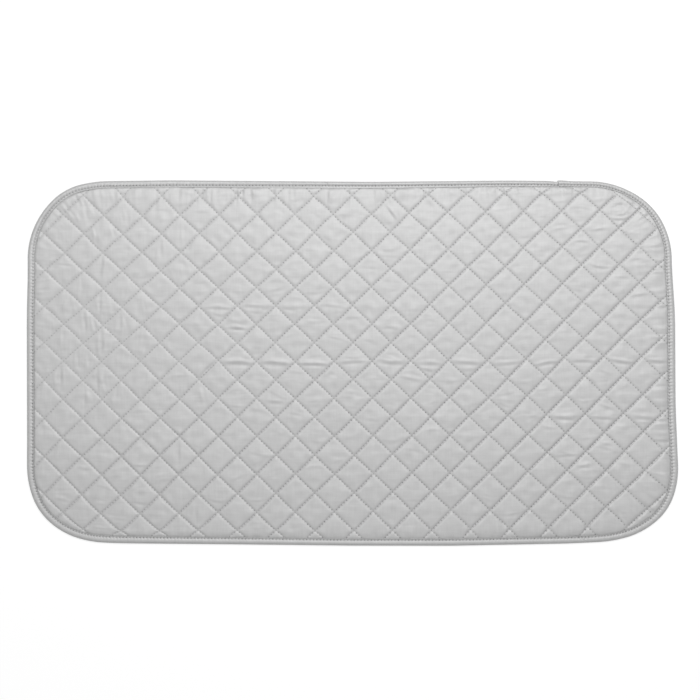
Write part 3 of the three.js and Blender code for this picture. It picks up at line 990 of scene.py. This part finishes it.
def silver_cloth(name, seam_directions):
    """Silver-coated polyester, woven fine: a satin grey, faintly streaked along its threads, with the shade
    of a needle hole painted dark at each end of every stitch, over its dent. On the quilted cover, with seams
    in two directions, the painted hole shade is fainter towards the left, where the seams are looser. The
    weave is drawn about three times as coarse as it is."""
    material, add = new_material(name)
    plan = add("ShaderNodeUVMap", uv_map="plan")
    seams = add("ShaderNodeUVMap", uv_map="seams")
    parts = add("ShaderNodeSeparateXYZ", {0: seams}).outputs
    hole_dent_and_shade = needle_holes(add, parts[0], parts[1])
    if seam_directions == 2:
        crossing = needle_holes(add, parts[1], parts[0])
        hole_dent_and_shade = add("ShaderNodeMath", {0: hole_dent_and_shade, 1: crossing}, operation="MAXIMUM")
        across = add("ShaderNodeSeparateXYZ", {0: plan})
        shown = add("ShaderNodeMapRange", {
            "Value": across, "From Min": FAINTEST_HOLES_X, "From Max": 0.0, "To Min": 0.6, "To Max": 1.0,
        })
        hole_dent_and_shade = add("ShaderNodeMath", {0: hole_dent_and_shade, 1: shown}, operation="MULTIPLY")
    uneven = add("ShaderNodeTexNoise", {"Vector": plan, "Scale": 1 / (5 * MM), "Detail": 1.0}).outputs["Fac"]
    shown = add("ShaderNodeMapRange", {
        "Value": uneven, "From Min": 0.35, "From Max": 0.65, "To Min": 0.45, "To Max": 1.0,
    })
    hole_dent_and_shade = add("ShaderNodeMath", {0: hole_dent_and_shade, 1: shown}, operation="MULTIPLY")
    tones = []
    for spacing_x, spacing_y in ((1.8, 26), (26, 1.8), (11, 11)):
        scale = (1 / (spacing_x * MM), 1 / (spacing_y * MM), 1)
        stretched = add("ShaderNodeMapping", {"Vector": plan, "Scale": scale})
        noise = add("ShaderNodeTexNoise", {"Vector": stretched, "Scale": 1.0, "Detail": 2.0})
        tones.append(noise.outputs["Fac"])
    mixed = add("ShaderNodeMath", {0: tones[0], 1: tones[1]}, operation="ADD")
    mixed = add("ShaderNodeMath", {0: mixed, 1: tones[2]}, operation="ADD")
    tone = add("ShaderNodeMapRange", {"Value": mixed, "From Min": 1.1, "From Max": 1.9})
    cloth = add("ShaderNodeMix", {
        "Factor": tone, "A": linear("#bebebe"), "B": linear("#c7c7c7"),
    }, data_type="RGBA")
    weave = woven(add, plan, 1.1 * MM, "ADD")
    surface = add("ShaderNodeMath", {0: weave, 1: hole_dent_and_shade}, operation="SUBTRACT")
    # The cloth darkens towards a painted shade in each needle hole
    hole_shade_tones = hole_dent_and_shade, cloth.outputs["Result"], linear("#808080")
    add_surface(add, hole_shade_tones, roughness=0.51, metallic=0.3, relief=(surface, 0.25, 0.12 * MM))
    return material


def backing_weave():
    """Plain cotton, woven of grey threads: matt, with light threads crossing gaps darkened by painted shade.
    The weave is drawn about twice as coarse as it is."""
    material, add = new_material("backing_weave")
    plan = add("ShaderNodeUVMap", uv_map="plan")
    weave = woven(add, plan, 1.2 * MM, "MULTIPLY")
    slubs = add("ShaderNodeTexNoise", {"Vector": plan, "Scale": 1 / (6 * MM), "Detail": 4.0}).outputs["Fac"]
    mixed = add("ShaderNodeMath", {0: weave, 1: slubs}, operation="MULTIPLY")
    tone = add("ShaderNodeMapRange", {"Value": mixed, "From Min": 0.0, "From Max": 0.7})
    # The gaps between the threads darken to a painted shade, and the slubs vary the tone at random
    greys = tone, linear("#8f8f8d"), linear("#b4b4b2")
    add_surface(add, greys, roughness=0.85, relief=(weave, 0.3, 0.2 * MM))
    return material


def needled_felt():
    """Polyester felt, its fibres tangled by barbed needles: off-white, matt, with fine unevenness."""
    material, add = new_material("needled_felt")
    place = add("ShaderNodeTexCoord").outputs["Object"]
    fibres = add("ShaderNodeTexNoise", {
        "Vector": place, "Scale": 1 / (1.5 * MM), "Detail": 6.0, "Distortion": 1.5,
    }).outputs["Fac"]
    whites = fibres, linear("#d8d4c9"), linear("#f2efe8")
    add_surface(add, whites, roughness=0.95, relief=(fibres, 0.5, 0.4 * MM))
    return material


def twisted_thread():
    """Spun polyester thread: its twist is painted as fine light and shade along each stitch."""
    material, add = new_material("twisted_thread")
    place = add("ShaderNodeTexCoord").outputs["Object"]
    # Painted light on the twist's ridges and painted shade in its grooves
    twist_shading = add("ShaderNodeTexWave", {"Vector": place, "Scale": wave_scale(0.6 * MM)}, bands_direction="X")
    greys = twist_shading.outputs["Fac"], linear("#b4b4b4"), linear("#cccccc")
    add_surface(add, greys, roughness=0.6)
    return material


# How the sewn pad lies

# Where the edge was let out or drawn in when it was bound: place along the outline from the middle of
# the front edge, and shift outwards, in millimetres
EDGE_SHIFTS = (
    (0, 0.6), (130, 0.9), (280, -1.8), (340, -4.5), (375, -1.2), (425, 3.8), (480, 1.5), (560, 0.1),
    (680, 2.2), (750, -0.7), (825, 1.2), (880, -0.5), (1030, 1.3), (1210, -0.3), (1480, 2.0), (1575, 0.8),
    (1620, 5.8), (1740, 1.4), (1800, 1.5), (1970, -2.6), (2015, -3.2), (2060, -1.1), (2145, -4.4),
    (2175, -2.7), (2350, -0.9),
)
EDGE_SHIFT_REACH = 60 * MM
EDGE_EASING = 12 * MM


def edge_shift(along):
    """How far the edge lies outside its drawn outline, eased between the places in EDGE_SHIFTS."""
    places, shifts = np.array(EDGE_SHIFTS).T * MM
    steps = (-EDGE_EASING, 0, EDGE_EASING)
    return np.mean([np.interp(along + step, places, shifts, period=OUTLINE_LENGTH) for step in steps], axis=0)


def lay_down(piece, quilted):
    """Moves a piece's points to where the sewn pad has them: edge uneven, quilting off its lattice."""
    x, y, z = points_of(piece.data).T
    out_x, out_y = outwards(x, y)
    near_edge = 1 - smooth_step(inset_from_edge(x, y) / EDGE_SHIFT_REACH)
    shift = edge_shift(distance_along_edge(x, y)) * near_edge
    to_right, to_rear = seam_shift(x, y) if quilted else (0, 0)
    moved = np.stack((x + out_x * shift + to_right, y + out_y * shift + to_rear, z), -1)
    piece.data.vertices.foreach_set("co", moved.astype(np.float32).ravel())
    piece.data.update()


# Studio

def white_floor():
    """White card, lit a little from itself where it is seen, so that it is white round the pad's shadow."""
    reach = 20.0
    below_pad = 0.2 * MM
    glow_strength = 0.63
    corners = np.array(((-reach, -reach, 0), (reach, -reach, 0), (reach, reach, 0), (-reach, reach, 0)))
    floor = mesh_object("floor", corners, np.array(((0, 1, 2, 3),)))
    material, add = new_material("white_card")
    ray = add("ShaderNodeLightPath").outputs
    seen = ray["Is Camera Ray"]
    for kind in ("Is Glossy Ray", "Is Transmission Ray"):
        seen = add("ShaderNodeMath", {0: seen, 1: ray[kind]}, operation="MAXIMUM")
    strength = add("ShaderNodeMath", {0: seen, 1: glow_strength}, operation="MULTIPLY")
    glow = add("ShaderNodeEmission", {"Color": linear("#ffffff"), "Strength": strength})
    card = add("ShaderNodeBsdfDiffuse", {"Color": linear("#b0b0b0")})
    add("ShaderNodeOutputMaterial", {0: add("ShaderNodeAddShader", {0: card, 1: glow})})
    floor.data.materials.append(material)
    floor.location.z = -below_pad


def make_studio():
    """An even white room and one soft lamp above the pad's rear edge."""
    scene = bpy.context.scene
    scene.view_settings.view_transform = "Standard"
    world = bpy.data.worlds.new("studio")
    scene.world = world
    world.use_nodes = True
    tree = world.node_tree
    direction = add_node(tree, "ShaderNodeTexCoord").outputs["Generated"]
    height = add_node(tree, "ShaderNodeSeparateXYZ", {0: direction}).outputs["Z"]
    strength = add_node(tree, "ShaderNodeMapRange", {
        "Value": height, "From Min": 0.0, "From Max": 0.9, "To Min": 0.15, "To Max": 0.81,
    })
    background = tree.nodes["Background"].inputs
    background["Color"].default_value = linear("#ffffff")
    tree.links.new(strength.outputs[0], background["Strength"])
    white_floor()
    lamp_x, lamp_y, lamp_z = 0.18, 0.85, 1.45
    aim_y = 0.1
    lamp = bpy.data.lights.new("rear_lamp", "AREA")
    lamp.shape = "RECTANGLE"
    lamp.size = 1.8
    lamp.size_y = 0.3
    lamp.energy = 13.2
    holder = new_object("rear_lamp", lamp)
    holder.location = (lamp_x, lamp_y, lamp_z)
    holder.rotation_euler = (-math.atan2(lamp_y - aim_y, lamp_z), 0, 0)


def make_camera():
    """Above the pad and a little in front, aimed just past its middle."""
    photo_size = 700
    distance = 2.2
    elevation = math.radians(83.7)
    focal_pixels = 1675
    roll = math.radians(-0.25)
    aim = Vector((-0.9 * MM, 14.3 * MM, 4 * MM))
    camera = bpy.data.cameras.new("camera")
    camera.sensor_width = 36
    camera.lens = camera.sensor_width * focal_pixels / photo_size
    holder = new_object("camera", camera)
    holder.location = distance * Vector((0, -math.cos(elevation), math.sin(elevation)))
    turn = (aim - holder.location).to_track_quat("-Z", "Y").to_matrix()
    holder.rotation_euler = (turn @ Matrix.Rotation(roll, 3, "Z")).to_euler()
    bpy.context.scene.camera = holder


# The pad

make_camera()
make_studio()
cover, batting, backing = make_layers()
binding = make_binding()
cover.data.materials.append(silver_cloth("silver_cloth", 2))
batting.data.materials.append(needled_felt())
backing.data.materials.append(backing_weave())
binding.data.materials.append(silver_cloth("silver_tape", 1))
sewing = stitch_tree()
thread = {"Thread": twisted_thread(), "Thread Width": THREAD_WIDTH}
stitches = {}
for half, rear in (("front", False), ("rear", True)):
    rows = quilting_rows(rear)
    for kind, cloth, side in (("stitches", cover, 1.0), ("bobbin_stitches", backing, -1.0)):
        name = f"{half}_quilting_{kind}"
        laid = {"Cloth": cloth, "Side": side, "Stitch Length": QUILTING_STITCH}
        stitches[name] = sew(name, rows, sewing, thread | laid)
for name, side in (("binding_stitches", 1.0), ("binding_bobbin_stitches", -1.0)):
    laid = {"Cloth": binding, "Side": side, "Stitch Length": TAPE_STITCH}
    stitches[name] = sew(name, binding_row(), sewing, thread | laid)

for piece in (cover, batting, backing, binding, *stitches.values()):
    lay_down(piece, quilted=not piece.name.startswith("binding"))
    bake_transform(piece)

for half in ("front", "rear"):
    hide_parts(half + "_top_cover")
    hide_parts(half + "_batting")
    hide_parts(half + "_backing")
    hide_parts(half + "_binding")
    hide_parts(half + "_quilting_thread")
    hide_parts(half + "_binding_thread")
